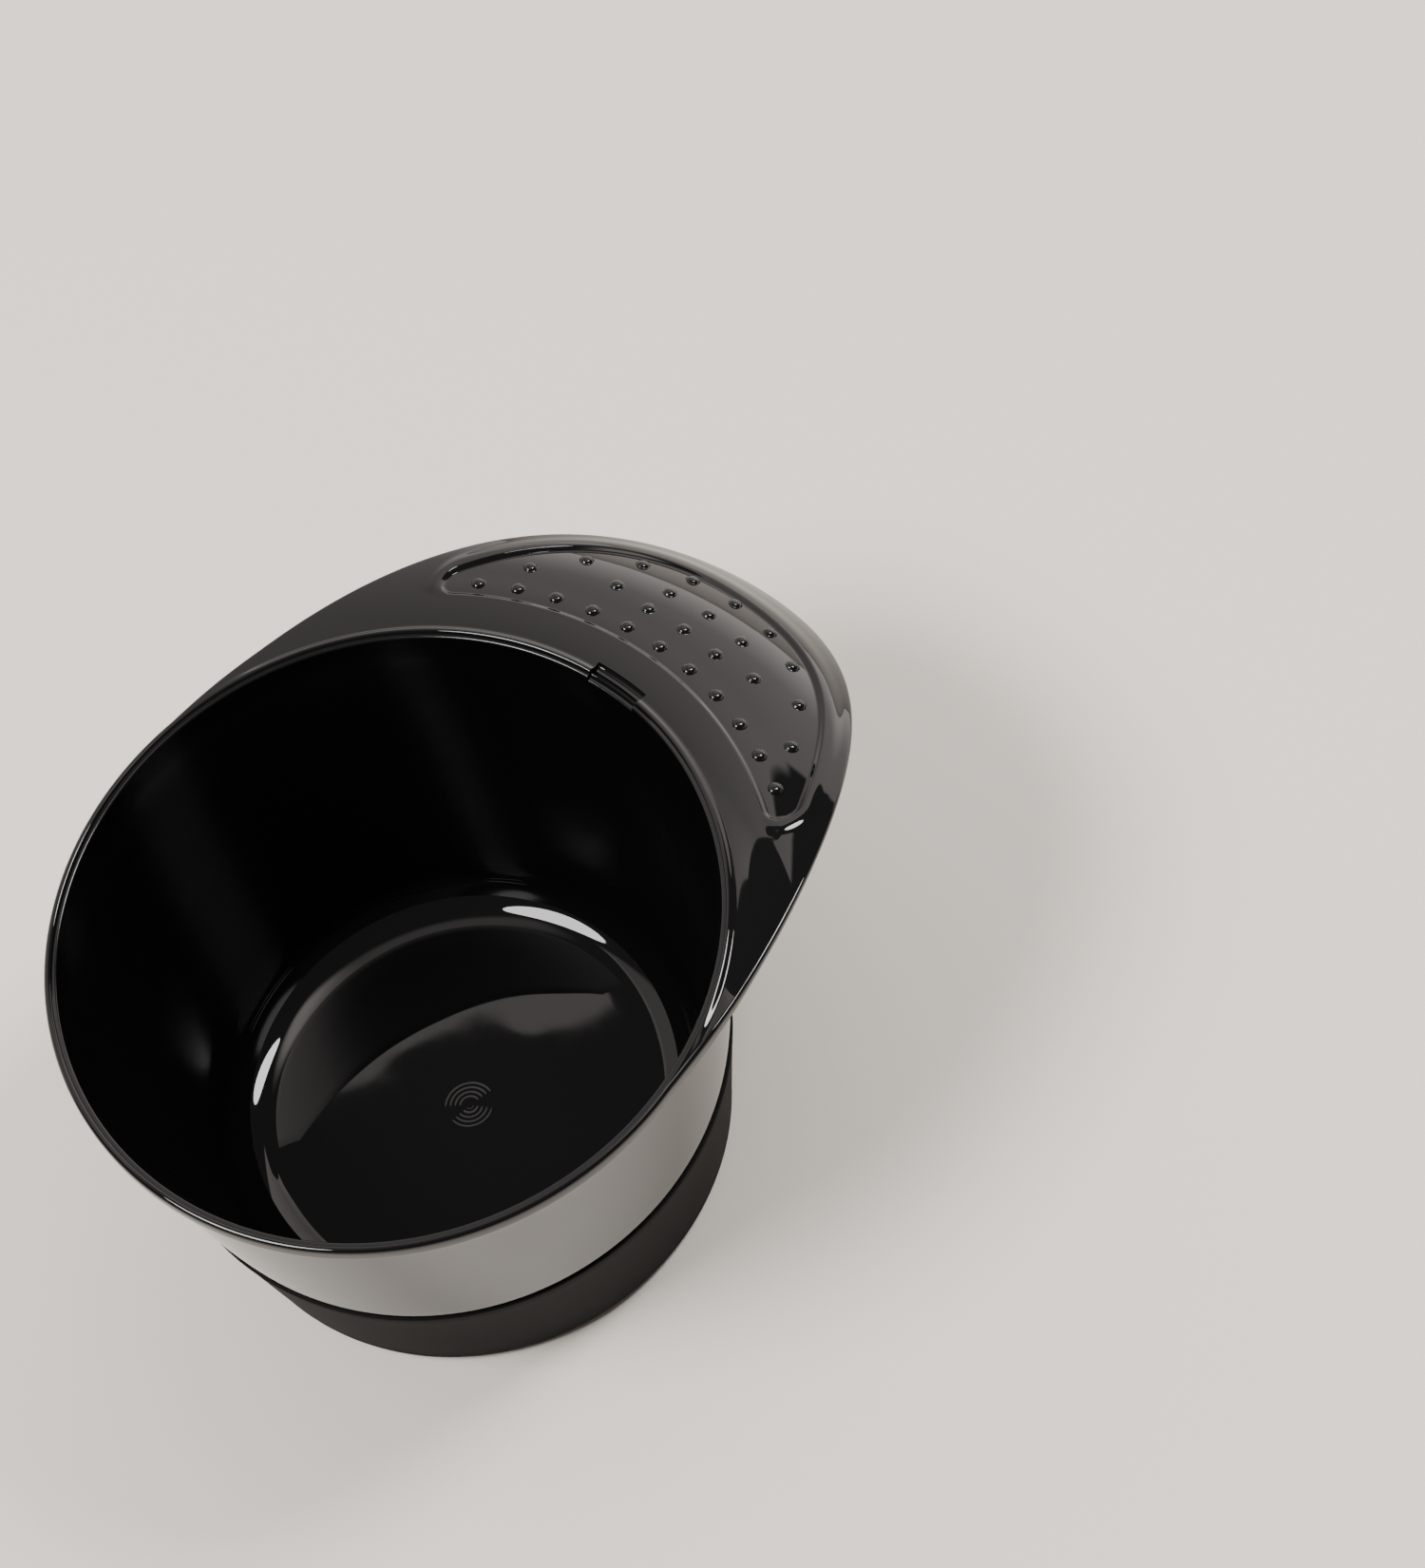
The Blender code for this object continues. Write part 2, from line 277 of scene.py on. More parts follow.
def notch_floor(r):
    """Height of the notch's floor, a trough that lies a little lower at the back."""
    across = min(2 * (r - CREST) / (NOTCH_OUTER - CREST) - 1, 1.0)
    return HEIGHT - NOTCH_LIP - NOTCH_FALL * (1 + across) / 2 - NOTCH_SAG * (1 - across * across)


def floor_rows():
    rows = [(0.0, FLOOR_TOP)]
    for ring in range(GATE_RINGS):
        r = GATE_FIRST + GATE_PITCH * ring
        rows += [(r + out, FLOOR_TOP + GATE_HEIGHT * share) for out, share in GATE_PROFILE]
    rows += [(r, FLOOR_TOP) for r in FLOOR_ROWS]
    return rows


def arc(centre_r, centre_z, radius, start, end, steps):
    """Points along part of a circle, as (r, z)."""
    angles = [start + (end - start) * i / steps for i in range(steps + 1)]
    return [(centre_r + radius * math.cos(a), centre_z + radius * math.sin(a)) for a in angles]


def inside_rows(cut):
    """Floor, fillet and inner wall up to the bead's top; cut is how deep the notch is here."""
    fillet_r = INNER_FOOT + INNER_SLOPE * FLOOR_FILLET - FLOOR_FILLET / math.cos(INNER_LEAN)
    rows = floor_rows()
    rows += arc(fillet_r, FLOOR_TOP + FLOOR_FILLET, FLOOR_FILLET, -QUARTER, -INNER_LEAN, 16)
    low = rows[-1][1]
    high = HEIGHT - BEAD_LIP_DROP - cut
    for i in range(1, 13):
        z = lerp(low, high, i / 12)
        rows.append((inner_radius(z), z))
    start = inner_radius(high)
    rows += arc(start + BEAD_LIP, high, BEAD_LIP, math.pi, math.radians(102), 7)[1:]
    rows.append((start + BEAD_LEDGE, high + BEAD_LIP - BEAD_LEDGE_DROP))
    rows += arc(CREST, HEIGHT - cut - BEAD_ROUND, BEAD_ROUND, math.radians(176), QUARTER, 7)
    return rows


# Rows across the top face, as distances out from the bead's crest and in from the panel's outline
SHOULDER_OFFSETS = (0.15, 0.3, 0.45, 0.6, 0.8, 1.0, 1.2, 1.4, 1.55, 1.7, 1.8, 1.9, 2.0, 2.08,
                    2.14, 2.18, 2.23, 2.4, 2.7, 3.1, 3.5, 3.9, 4.2, 4.4)
STEP_OFFSETS = (-3.2, -2.8, -2.4, -2.0, -1.6, -1.2, -0.9, -0.6, -0.35, -0.15, 0.0,
                0.12, 0.24, 0.36, 0.48, 0.6, 0.72, 0.84, 0.96, 1.1, 1.25)
PANEL_ROWS = 22
BORDER_ROWS = 6


def top_radii(angle, edge, spread):
    """Radii of the rows between the bead's crest and the outer edge's round."""
    share = min((grip_radius(angle) - RIM_RADIUS) / (grip_radius(PANEL_LAST) - RIM_RADIUS), 1.0)
    held = min(abs(angle), PANEL_LAST)
    outer = CREST + (panel_radius(held) - CREST) * share
    radii = [CREST + d * share for d in SHOULDER_OFFSETS]
    radii += [CREST + (PANEL_INNER - CREST + d) * share for d in STEP_OFFSETS]
    start = radii[-1]
    end = outer - STEP_OFFSETS[-1] * share
    radii += [lerp(start, end, i / PANEL_ROWS) for i in range(1, PANEL_ROWS)]
    radii += [outer - d * share for d in reversed(STEP_OFFSETS)]
    start = radii[-1]
    radii += [lerp(start, edge - spread, i / BORDER_ROWS) for i in range(1, BORDER_ROWS + 1)]
    return radii


def section(angle):
    """The bowl's whole section in one direction from its axis, as (r, z), from the floor's middle
    over the rim and back under the floor. Every direction has the same number of rows."""
    outer = grip_radius(angle)
    width = outer - RIM_RADIUS
    merge = 1 - smooth(width / BEAD_FADE)
    grown = smooth(width / BRIM_GROWTH)
    share = notch_share(angle)
    cut = NOTCH_LIP * share
    rows = inside_rows(cut)
    slope = (brim_top(outer, merge) - brim_top(outer - SLOPE_STEP, merge)) / SLOPE_STEP
    tilt = -math.atan(slope)
    tangent = Vector((math.cos(tilt), -math.sin(tilt)))
    normal = Vector((math.sin(tilt), math.cos(tilt)))
    edge_top = lerp(BEAD_OUT, GRIP_ROUND, grown)
    corner = Vector((outer, brim_top(outer, merge)))
    for r in top_radii(angle, outer, edge_top * tangent.x):
        z = brim_top(r, merge)
        sink = panel_sink(r, angle)
        lean = math.asin(min(max((r - RIM_RADIUS) / BRIM_ARC, 0.0), 1.0))
        point = Vector((r - sink * math.sin(lean), z - sink * math.cos(lean)))
        if share and r < NOTCH_OUTER:
            point.y = min(point.y, lerp(HEIGHT, notch_floor(r), share))
        rows.append(tuple(point))
    centre = corner - tangent * edge_top - normal * edge_top
    for i in range(1, 8):
        a = QUARTER * i / 7
        rows.append(tuple(centre + (normal * math.cos(a) + tangent * math.sin(a)) * edge_top))
    rows += under_rows(corner, tangent, normal, grown)
    return rows


def under_rows(corner, tangent, normal, grown):
    """The section from the outer edge's underside down the outer wall and in under the floor."""
    edge_low = lerp(BEAD_LOW_ROUND, GRIP_LOW_ROUND, grown)
    depth = lerp(BEAD_DEPTH, BRIM_THICKNESS, grown)
    low_corner = corner - normal * depth
    centre = low_corner - tangent * edge_low + normal * edge_low
    rows = []
    for i in range(0, 7):
        a = QUARTER * i / 6
        rows.append(tuple(centre + (tangent * math.cos(a) - normal * math.sin(a)) * edge_low))
    fillet = lerp(BEAD_FILLET, GRIP_FILLET, grown)
    wall_top = HEIGHT - BEAD_DEPTH
    start = Vector(rows[-1])
    join = Vector((wall_radius(wall_top) + fillet, 0))
    arc_low = BRIM_ARC - BRIM_THICKNESS
    for i in range(1, 15):
        r = lerp(start.x, join.x, i / 14)
        out = max(r - RIM_RADIUS, 0.0)
        dome = BRIM_CENTRE_Z + math.sqrt(arc_low ** 2 - out ** 2)
        rows.append((r, lerp(lerp(start.y, wall_top, i / 14), dome, grown)))
    begin = Vector(rows[-1])
    turn = Vector((wall_radius(wall_top), wall_top))
    end = Vector((wall_radius(wall_top - fillet), wall_top - fillet))
    for i in range(1, 8):
        t = i / 7
        rows.append(tuple(begin * (1 - t) ** 2 + turn * 2 * t * (1 - t) + end * t * t))
    shoulder = RING_HEIGHT + FIT_GAP
    low = shoulder + SHOULDER_ROUND
    for i in range(1, 13):
        z = lerp(end.y, low, i / 12)
        rows.append((wall_radius(z), z))
    rows += arc(wall_radius(low) - SHOULDER_ROUND, low, SHOULDER_ROUND, 0, -QUARTER, 4)[1:]
    rows.append((foot_radius(shoulder) + SHOULDER_ROUND, shoulder))
    rows += [(foot_radius(z), z) for z in (shoulder - SHOULDER_ROUND, 20.0, 10.0)]
    toe_z = FLOOR_BOTTOM + FOOT_TOE
    rows += arc(foot_radius(toe_z) - FOOT_TOE, toe_z, FOOT_TOE, 0, -QUARTER, 5)
    rows += [(r, FLOOR_BOTTOM) for r in FOOT_ROWS]
    return rows


def select_none():
    if bpy.context.object and bpy.context.object.mode != "OBJECT":
        bpy.ops.object.mode_set(mode="OBJECT")
    bpy.ops.object.select_all(action="DESELECT")


def edit(obj):
    select_none()
    obj.select_set(True)
    bpy.context.view_layer.objects.active = obj
    bpy.ops.object.mode_set(mode="EDIT")


def object_mode():
    bpy.ops.object.mode_set(mode="OBJECT")


def drawn_line(name, points):
    """A line of (r, z) points in a plane through the bowl's axis, drawn by extruding one vertex."""
    select_none()
    r, z = points[0]
    bpy.ops.mesh.primitive_plane_add(size=MM)
    obj = bpy.context.object
    obj.name = name
    obj.data.name = name
    edit(obj)
    bpy.ops.mesh.select_all(action="SELECT")
    bpy.ops.mesh.merge(type="CENTER")
    bpy.ops.transform.translate(value=((BOWL_X + r) * MM, 0, z * MM))
    for before, after in zip(points, points[1:]):
        step = ((after[0] - before[0]) * MM, 0, (after[1] - before[1]) * MM)
        bpy.ops.mesh.extrude_region_move(TRANSFORM_OT_translate={"value": step})
    object_mode()
    return obj


def spun(obj, sweeps):
    """Turn the line about the bowl's axis, in sweeps of (degrees, steps)."""
    edit(obj)
    bpy.ops.mesh.select_all(action="SELECT")
    for degrees, steps in sweeps:
        bpy.ops.mesh.spin(steps=steps, angle=math.radians(degrees), center=(BOWL_X * MM, 0, 0),
                          axis=(0, 0, 1))
    object_mode()


def closed_up(obj):
    """Merge the seam and poles that spinning leaves, and point the faces outwards."""
    edit(obj)
    bpy.ops.mesh.select_all(action="SELECT")
    bpy.ops.mesh.remove_doubles(threshold=MERGE_DISTANCE)
    bpy.ops.mesh.dissolve_degenerate(threshold=MERGE_DISTANCE)
    bpy.ops.mesh.select_all(action="SELECT")
    bpy.ops.mesh.normals_make_consistent(inside=False)
    object_mode()


def make_bowl():
    """The grip's section is drawn and spun round, and then each direction's points move to that
    direction's own section, because spinning alone can't swell a round rim out into a grip."""
    blank = section(0.0)
    obj = drawn_line("bowl", blank)
    row = obj.data.attributes.new("row", "INT", "POINT")
    row.data.foreach_set("value", list(range(len(blank))))
    spun(obj, HALF_TURN + HALF_TURN[::-1])
    rows = [d.value for d in obj.data.attributes["row"].data]
    sections = {}
    for vertex, place in zip(obj.data.vertices, rows):
        if blank[place][0] == 0:
            continue
        angle = math.atan2(vertex.co.y, vertex.co.x - BOWL_X * MM)
        key = round(angle, 5)
        if key not in sections:
            sections[key] = section(angle)
        r, z = sections[key][place]
        vertex.co = ((BOWL_X + r * math.cos(angle)) * MM, r * math.sin(angle) * MM, z * MM)
    obj.data.attributes.remove(obj.data.attributes["row"])
    closed_up(obj)
    bpy.ops.object.shade_smooth_by_angle(angle=SHARP_EDGE)
    return obj


def dot_places():
    """Radius and angle of each dot, in columns that fan out from the bowl's axis."""
    places = []
    inner = PANEL_INNER + DOT_MARGIN_INNER
    reach = PANEL_REACH - DOT_MARGIN_OUTER
    half_width = PANEL_HALF_WIDTH - DOT_MARGIN_SIDE
    for column, count in enumerate(DOT_COLUMNS):
        angle = DOT_COLUMN_ANGLE * column
        outer = swell_radius(reach, half_width, PANEL_FULLNESS, angle)
        for i in range(count):
            radius = inner + (outer - inner) * i / max(count - 1, 1)
            places += [(radius, side) for side in sorted({angle, -angle})]
    return places


def dot_profile():
    """Half of a dot's section: a low dome with a small fillet at its foot, and a root in the panel."""
    points = []
    for i in range(0, 9):
        a = math.radians(10.0) * i
        points.append((DOT_RADIUS * math.sin(a), DOT_HEIGHT * math.cos(a)))
    points += [(DOT_RADIUS + 0.02, 0.08), (DOT_RADIUS + 0.08, 0.02), (DOT_RADIUS + 0.17, -DOT_SINK)]
    return points + [(DOT_RADIUS * 0.95, -DOT_ROOT), (0.0, -DOT_ROOT)]


def make_dots():
    """Low moulded bumps, modelled once and copied over the panel, square to it."""
    first = drawn_line("dot", [(r - BOWL_X, z) for r, z in dot_profile()])
    edit(first)
    bpy.ops.mesh.select_all(action="SELECT")
    bpy.ops.mesh.spin(steps=DOT_STEPS, angle=2 * math.pi, center=(0, 0, 0), axis=(0, 0, 1))
    object_mode()
    closed_up(first)
    copies = []
    for r, angle in dot_places():
        sunk = BRIM_ARC - panel_depth(r)
        tilt = math.asin((r - RIM_RADIUS) / sunk)
        z = BRIM_CENTRE_Z + sunk * math.cos(tilt)
        place = Matrix.Translation((BOWL_X * MM, 0, 0)) @ Matrix.Rotation(angle, 4, "Z")
        place = place @ Matrix.Translation((r * MM, 0, z * MM)) @ Matrix.Rotation(tilt, 4, "Y")
        copy = first.copy()
        copy.data = first.data.copy()
        bpy.context.collection.objects.link(copy)
        copy.data.transform(place)
        copies.append(copy)
    bpy.data.objects.remove(first)
    select_none()
    for copy in copies:
        copy.select_set(True)
    bpy.context.view_layer.objects.active = copies[0]
    bpy.ops.object.join()
    obj = bpy.context.object
    obj.name = "grip_dots"
    obj.data.name = "grip_dots"
    bpy.ops.object.shade_smooth_by_angle(angle=SHARP_EDGE_DOTS)
    return obj


def ring_outer(z):
    return wall_radius(z) + RING_PROUD


def ring_inner(z):
    return ring_outer(z) - RING_WALL


def ring_profile():
    """The ring's section, once round from its top inner edge."""
    top = RING_HEIGHT
    points = arc(ring_inner(top) + RING_TOP_ROUND, top - RING_TOP_ROUND, RING_TOP_ROUND, math.pi, QUARTER, 3)
    points += arc(ring_outer(top) - RING_LIP, top - RING_LIP, RING_LIP, QUARTER, 0, 6)
    for i in range(1, 10):
        z = lerp(top - RING_LIP, RING_EDGE, i / 10)
        points.append((ring_outer(z), z))
    points += arc(ring_outer(RING_EDGE) - RING_EDGE, RING_EDGE, RING_EDGE, 0, -QUARTER, 12)
    points += [(41.0, 0), (38.0, 0), (35.0, 0)]
    points += arc(SOLE_INNER + SOLE_LOW_ROUND, SOLE_LOW_ROUND, SOLE_LOW_ROUND, -QUARTER, -math.pi, 4)
    sole_z = SOLE_THICKNESS - SOLE_TOP_ROUND
    points += arc(SOLE_INNER + SOLE_TOP_ROUND, sole_z, SOLE_TOP_ROUND, math.pi, QUARTER, 3)
    points += [(38.0, SOLE_THICKNESS), (42.0, SOLE_THICKNESS)]
    low = SOLE_THICKNESS + SOLE_FILLET
    points += arc(ring_inner(low) - SOLE_FILLET, low, SOLE_FILLET, -QUARTER, 0, 4)
    for i in range(1, 6):
        z = lerp(low, top - RING_TOP_ROUND, i / 6)
        points.append((ring_inner(z), z))
    return points + [points[0]]


def make_ring():
    obj = drawn_line("base_ring_rubber", ring_profile())
    spun(obj, [(360.0, RING_STEPS)])
    closed_up(obj)
    bpy.ops.object.shade_smooth_by_angle(angle=SHARP_EDGE)
    return obj


def linear(hex_colour):
    """An sRGB hex colour as linear values."""
    parts = [int(hex_colour[i:i + 2], 16) / 255 for i in (1, 3, 5)]
    return tuple(c / 12.92 if c <= 0.04045 else ((c + 0.055) / 1.055) ** 2.4 for c in parts) + (1.0,)


def add_node(tree, kind, settings=None, links=None):
    """A node with its settings, and its inputs set or linked."""
    node = tree.nodes.new(kind)
    for key, value in (settings or {}).items():
        setattr(node, key, value)
    for key, value in (links or {}).items():
        if isinstance(value, bpy.types.NodeSocket):
            tree.links.new(value, node.inputs[key])
        else:
            node.inputs[key].default_value = value
    return node


def new_material(name):
    material = bpy.data.materials.new(name)
    material.use_nodes = True
    tree = material.node_tree
    tree.nodes.clear()
    shader = add_node(tree, "ShaderNodeBsdfPrincipled")
    out = add_node(tree, "ShaderNodeOutputMaterial")
    tree.links.new(shader.outputs["BSDF"], out.inputs["Surface"])
    return material, tree, shader


def inner_wall_mask(tree, place):
    """1 on the bowl's inner wall, from just above the floor's fillet, and 0 elsewhere."""
    centred = add_node(tree, "ShaderNodeVectorMath", SUBTRACT, {0: place, 1: (BOWL_X * MM, 0, 0)})
    flat = add_node(tree, "ShaderNodeVectorMath", MULTIPLY, {0: centred.outputs["Vector"], 1: (1, 1, 0)})
    radius = add_node(tree, "ShaderNodeVectorMath", {"operation": "LENGTH"}, {0: flat.outputs["Vector"]})
    height = add_node(tree, "ShaderNodeSeparateXYZ", None, {"Vector": place}).outputs["Z"]
    low = inner_radius(0.0) + MASK_MARGIN
    limit = add_node(tree, "ShaderNodeMath", MULTIPLY_ADD, {0: height, 1: INNER_SLOPE, 2: low * MM})
    inside = add_node(tree, "ShaderNodeMath", {"operation": "LESS_THAN"},
                      {0: radius.outputs["Value"], 1: limit.outputs["Value"]})
    above = add_node(tree, "ShaderNodeMapRange", SMOOTHSTEP,
                     {"Value": height, "From Min": SCUFF_START * MM, "From Max": SCUFF_FULL * MM})
    mask = add_node(tree, "ShaderNodeMath", MULTIPLY,
                    {0: inside.outputs["Value"], 1: above.outputs["Result"]})
    return mask.outputs["Value"]


def gloss_polypropylene():
    """Polypropylene, coloured black in the melt and injection moulded in a polished tool.

    The body is so dark that the eye reads it almost wholly by what its clear, even gloss reflects.
    As in any moulded wall, shrinkage leaves long shallow waves, which make those reflections wander,
    and handling leaves a faint haze in patches. Brushing and washing have scuffed the inner wall,
    so lights show in it only as soft dim patches, while the floor stays glossy."""
    material, tree, shader = new_material("gloss moulded polypropylene, black")
    place = add_node(tree, "ShaderNodeTexCoord").outputs["Object"]
    wave = add_node(tree, "ShaderNodeTexNoise", None,
                    {"Vector": place, "Scale": 1 / (WAVE_LENGTH * MM), "Detail": 1.0, "Roughness": 0.3})
    bump = add_node(tree, "ShaderNodeBump", None,
                    {"Height": wave.outputs["Fac"], "Strength": 1.0, "Distance": WAVE_DEPTH * MM})
    haze = add_node(tree, "ShaderNodeTexNoise", None,
                    {"Vector": place, "Scale": 1 / (HAZE_PATCH * MM), "Detail": 4.0, "Roughness": 0.6})
    gloss = add_node(tree, "ShaderNodeMapRange", None,
                     {"Value": haze.outputs["Fac"], "From Min": 0.3, "From Max": 0.7,
                      "To Min": GLOSS_CLEAR, "To Max": GLOSS_HAZY})
    dulled = add_node(tree, "ShaderNodeMath", MULTIPLY_ADD,
                      {0: inner_wall_mask(tree, place), 1: SCUFF_ROUGHNESS, 2: gloss.outputs["Result"]})
    tree.links.new(dulled.outputs["Value"], shader.inputs["Roughness"])
    tree.links.new(bump.outputs["Normal"], shader.inputs["Normal"])
    shader.inputs["Base Color"].default_value = linear("#0a0a0b")
    shader.inputs["IOR"].default_value = PLASTIC_IOR
    return material


def satin_rubber():
    """Thermoplastic rubber, black, moulded in a spark-eroded tool.

    It looks dull and even beside the bowl, with only a weak broad sheen and a fine grain. The real
    grain is about 0.1 mm, too fine to show, so it is drawn five times as coarse."""
    material, tree, shader = new_material("satin moulded rubber, black")
    place = add_node(tree, "ShaderNodeTexCoord").outputs["Object"]
    grain = add_node(tree, "ShaderNodeTexNoise", None,
                     {"Vector": place, "Scale": 1 / (GRAIN_WIDTH * MM), "Detail": 2.0})
    bump = add_node(tree, "ShaderNodeBump", None,
                    {"Height": grain.outputs["Fac"], "Strength": 0.5, "Distance": GRAIN_DEPTH * MM})
    tree.links.new(bump.outputs["Normal"], shader.inputs["Normal"])
    shader.inputs["Base Color"].default_value = linear("#0d0c0c")
    shader.inputs["Roughness"].default_value = 0.68
    shader.inputs["IOR"].default_value = RUBBER_IOR
    shader.inputs["Specular IOR Level"].default_value = 0.1
    return material


def finish_piece(obj, material, body, node):
    obj.data.materials.clear()
    obj.data.materials.append(material)
    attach(obj, body)
    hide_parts(node)


def make_floor():
    select_none()
    bpy.ops.mesh.primitive_plane_add(size=3.0)
    floor = bpy.context.object
    floor.name = "studio_floor"
    material, tree, shader = new_material("matt white studio paper")
    shader.inputs["Base Color"].default_value = linear("#f5ede3")
    shader.inputs["Roughness"].default_value = 0.9
    floor.data.materials.append(material)


def make_camera():
    """A long lens above the rim's near side, rolled a little, so that the grip points up and right."""
    ahead = (CAMERA_AIM - CAMERA_PLACE).normalized()
    level = ahead.cross(Vector((0, 0, 1))).normalized()
    lift = level.cross(ahead)
    right = level * math.cos(CAMERA_ROLL) + lift * math.sin(CAMERA_ROLL)
    up = right.cross(ahead)
    data = bpy.data.cameras.new("camera")
    data.sensor_fit = "HORIZONTAL"
    data.sensor_width = 36.0
    data.lens = 120.0
    data.clip_start = 0.01
    camera = bpy.data.objects.new("camera", data)
    turn = Matrix((right, up, -ahead)).transposed()
    camera.matrix_world = Matrix.Translation(CAMERA_PLACE * MM) @ turn.to_4x4()
    bpy.context.scene.collection.objects.link(camera)
    bpy.context.scene.camera = camera


def softbox(name, azimuth, elevation, width, height, radiance):
    """A round softbox that faces the origin; its power is worked out from how bright its face is."""
    data = bpy.data.lights.new(name, "AREA")
    data.shape = "ELLIPSE"
    data.size = width
    data.size_y = height
    data.energy = radiance * math.pi * math.pi / 4 * width * height
    light = bpy.data.objects.new(name, data)
    a = math.radians(azimuth)
    e = math.radians(elevation)
    way = Vector((math.cos(a) * math.cos(e), math.sin(a) * math.cos(e), math.sin(e)))
    light.location = way * SOFTBOX_DISTANCE
    light.rotation_euler = way.to_track_quat("Z", "Y").to_euler()
    bpy.context.scene.collection.objects.link(light)


def backdrop_share(tree, height, turn):
    """1 on the bright backdrop beyond the bowl and 0 off it: above its top edge, where the dark
    ceiling starts, and past its right and left edges."""
    top = add_node(tree, "ShaderNodeMapRange", None,
                   {"Value": turn, "From Min": math.radians(25), "From Max": math.radians(45),
                    "To Min": 0.83, "To Max": 0.8756})
    dip = add_node(tree, "ShaderNodeMapRange", SMOOTHSTEP,
                   {"Value": turn, "From Min": math.radians(63.2), "From Max": math.radians(65.8),
                    "To Min": 0.0009, "To Max": -0.0033})
    dipped = add_node(tree, "ShaderNodeMath", {"operation": "ADD"},
                      {0: top.outputs["Result"], 1: dip.outputs["Result"]})
    past_top = add_node(tree, "ShaderNodeMath", SUBTRACT, {0: height, 1: dipped.outputs["Value"]})
    below = add_node(tree, "ShaderNodeMapRange", SMOOTHSTEP,
                     {"Value": past_top.outputs["Value"], "From Min": -0.0005, "From Max": 0.0,
                      "To Min": 1.0, "To Max": 0.0})
    edge = add_node(tree, "ShaderNodeMapRange", None,
                    {"Value": height, "From Min": 0.35, "From Max": 0.62,
                     "To Min": math.radians(-15), "To Max": math.radians(12.5)})
    inner = add_node(tree, "ShaderNodeMath", {"operation": "ADD"},
                     {0: edge.outputs["Result"], 1: math.radians(2)})
    right = add_node(tree, "ShaderNodeMapRange", SMOOTHSTEP,
                     {"Value": turn, "From Min": edge.outputs["Result"], "From Max": inner.outputs["Value"]})
    left = add_node(tree, "ShaderNodeMapRange", SMOOTHSTEP,
                    {"Value": turn, "From Min": math.radians(122), "From Max": math.radians(130),
                     "To Min": 1.0, "To Max": 0.0})
    sides = add_node(tree, "ShaderNodeMath", MULTIPLY,
                     {0: right.outputs["Result"], 1: left.outputs["Result"]})
    share = add_node(tree, "ShaderNodeMath", MULTIPLY,
                     {0: below.outputs["Result"], 1: sides.outputs["Value"]})
    return share.outputs["Value"]


def backdrop_level(tree, height, turn):
    """The backdrop is brightest at its right end, and brighter near the floor and its top edge."""
    fade = add_node(tree, "ShaderNodeMapRange", None,
                    {"Value": turn, "From Min": math.radians(15), "From Max": math.radians(60),
                     "To Min": 2.0, "To Max": 1.05})
    low = add_node(tree, "ShaderNodeMapRange", None,
                   {"Value": height, "From Max": 0.25, "To Min": 1.65, "To Max": 1.0})
    high = add_node(tree, "ShaderNodeMapRange", None,
                    {"Value": height, "From Min": 0.85, "From Max": 0.872, "To Min": 1.0, "To Max": 1.5})
    glow = add_node(tree, "ShaderNodeMath", MULTIPLY, {0: fade.outputs["Result"], 1: low.outputs["Result"]})
    level = add_node(tree, "ShaderNodeMath", MULTIPLY, {0: glow.outputs["Value"], 1: high.outputs["Result"]})
    return level.outputs["Value"]


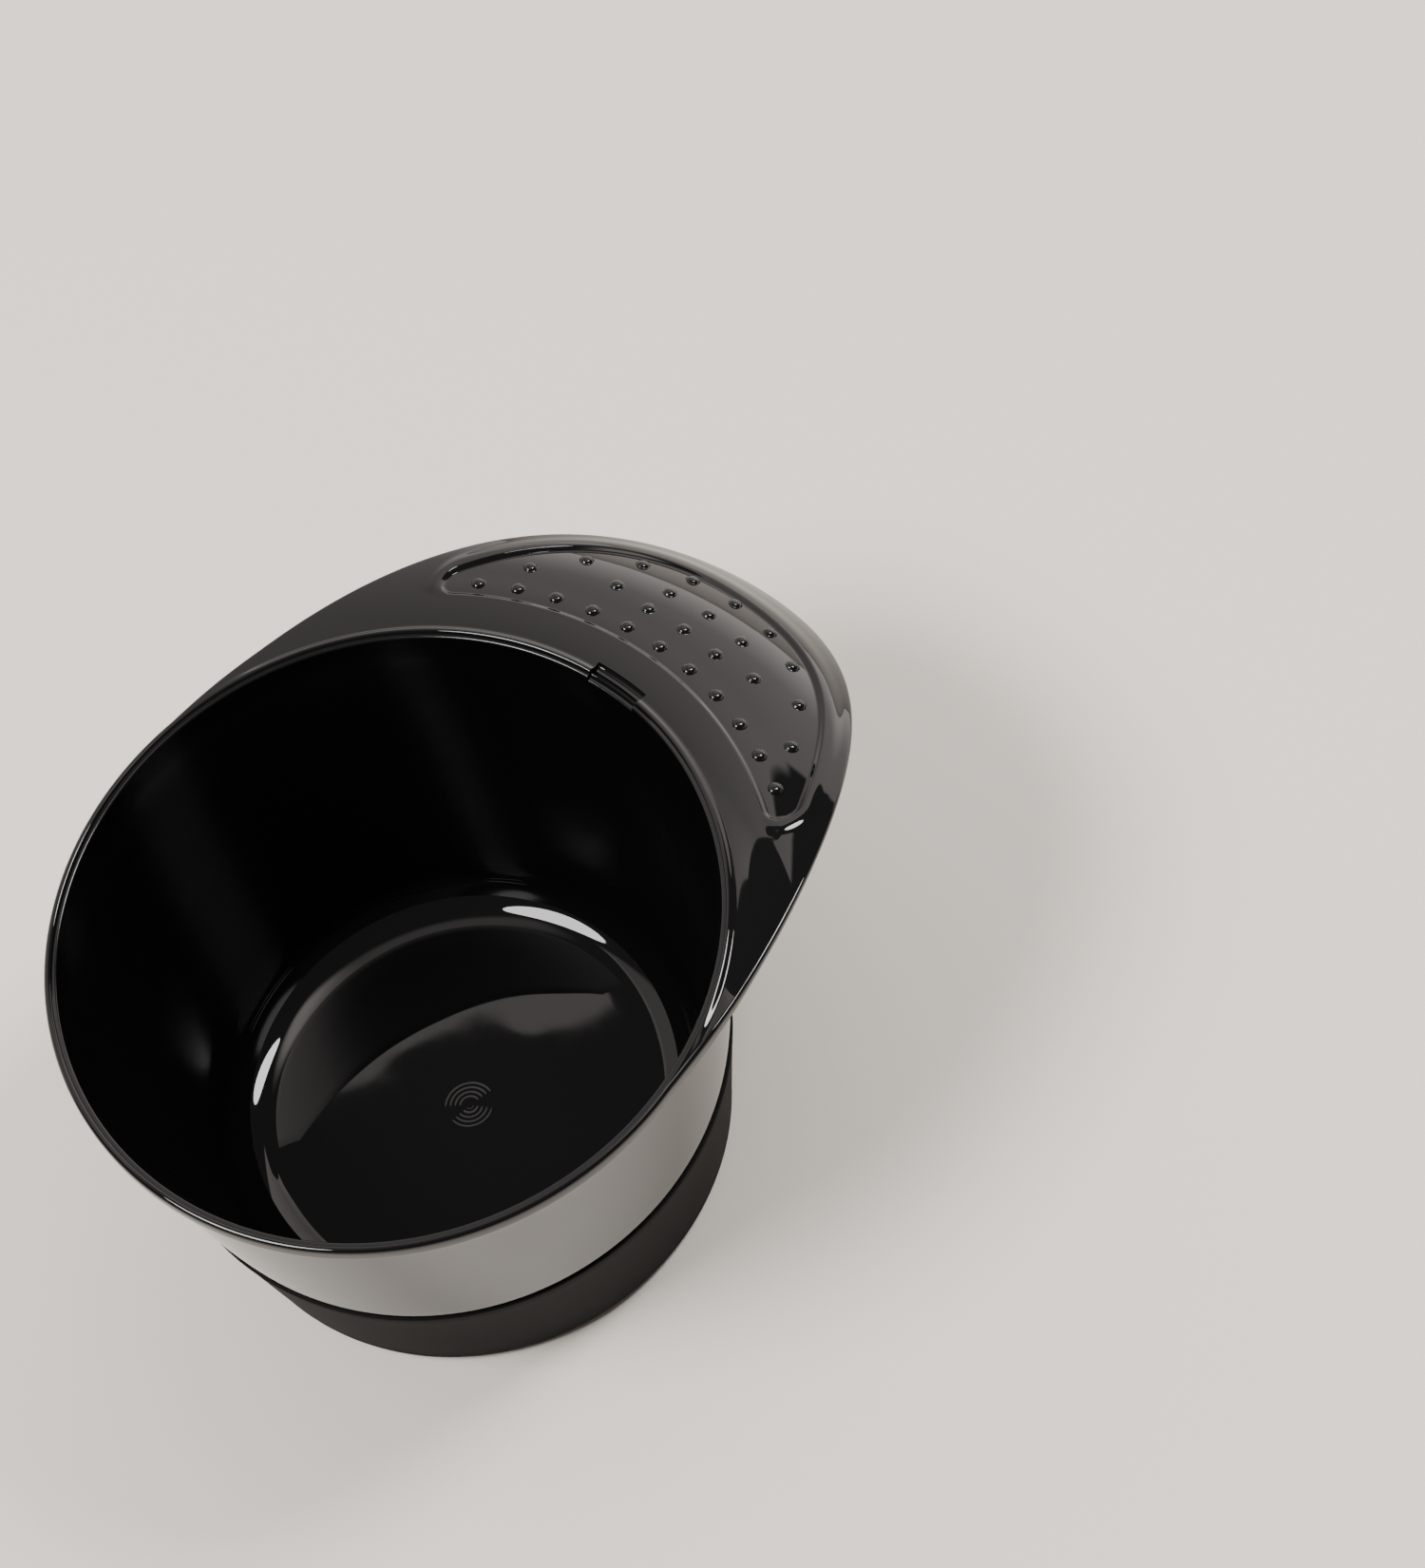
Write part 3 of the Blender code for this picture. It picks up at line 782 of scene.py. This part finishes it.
def room_level(tree, height, way):
    """The dim room, with a pale panel overhead that is brighter on the right."""
    overhead = add_node(tree, "ShaderNodeMapRange", SMOOTHSTEP,
                        {"Value": height, "From Min": 0.915, "From Max": 0.955})
    beyond = add_node(tree, "ShaderNodeVectorMath", DOT_PRODUCT, {0: way, 1: (0.64, 0.77, 0)})
    ahead = add_node(tree, "ShaderNodeMapRange", SMOOTHSTEP,
                     {"Value": beyond.outputs["Value"], "From Min": -0.12, "From Max": 0.08})
    share = add_node(tree, "ShaderNodeMath", MULTIPLY,
                     {0: overhead.outputs["Result"], 1: ahead.outputs["Result"]})
    rightward = add_node(tree, "ShaderNodeVectorMath", DOT_PRODUCT, {0: way, 1: (0.985, -0.17, 0)})
    strength = add_node(tree, "ShaderNodeMapRange", SMOOTHSTEP,
                        {"Value": rightward.outputs["Value"], "From Min": 0.08, "From Max": 0.25,
                         "To Min": 0.7, "To Max": 3.0})
    level = add_node(tree, "ShaderNodeMath", MULTIPLY_ADD,
                     {0: share.outputs["Value"], 1: strength.outputs["Result"], 2: ROOM_LEVEL})
    return level.outputs["Value"]


def make_surroundings():
    """A bright backdrop beyond the bowl, a dim room and two softboxes: the gloss shows all of them.
    Heights are the upward part of a direction, from 0 at the horizon to 1 overhead."""
    world = bpy.data.worlds.new("studio")
    bpy.context.scene.world = world
    world.use_nodes = True
    tree = world.node_tree
    tree.nodes.clear()
    way = add_node(tree, "ShaderNodeTexCoord").outputs["Generated"]
    split = add_node(tree, "ShaderNodeSeparateXYZ", None, {"Vector": way})
    height = split.outputs["Z"]
    turn = add_node(tree, "ShaderNodeMath", {"operation": "ARCTAN2"},
                    {0: split.outputs["Y"], 1: split.outputs["X"]}).outputs["Value"]
    level = add_node(tree, "ShaderNodeMapRange", None,
                     {"Value": backdrop_share(tree, height, turn), "To Min": room_level(tree, height, way),
                      "To Max": backdrop_level(tree, height, turn)})
    back = add_node(tree, "ShaderNodeBackground", None,
                    {"Color": linear("#f8f0ec"), "Strength": level.outputs["Result"]})
    out = add_node(tree, "ShaderNodeOutputWorld")
    tree.links.new(back.outputs["Background"], out.inputs["Surface"])
    softbox("left_softbox", 160.0, 56.0, 0.81, 0.74, 22.0)
    softbox("right_softbox", -23.0, 54.0, 0.43, 0.70, 26.0)


make_camera()
make_floor()
make_surroundings()
polypropylene = gloss_polypropylene()
rubber = satin_rubber()
finish_piece(make_bowl(), polypropylene, "bowl", "bowl_shell")
finish_piece(make_dots(), polypropylene, "bowl", "bowl_shell")
finish_piece(make_ring(), rubber, "base_ring", "base_ring")
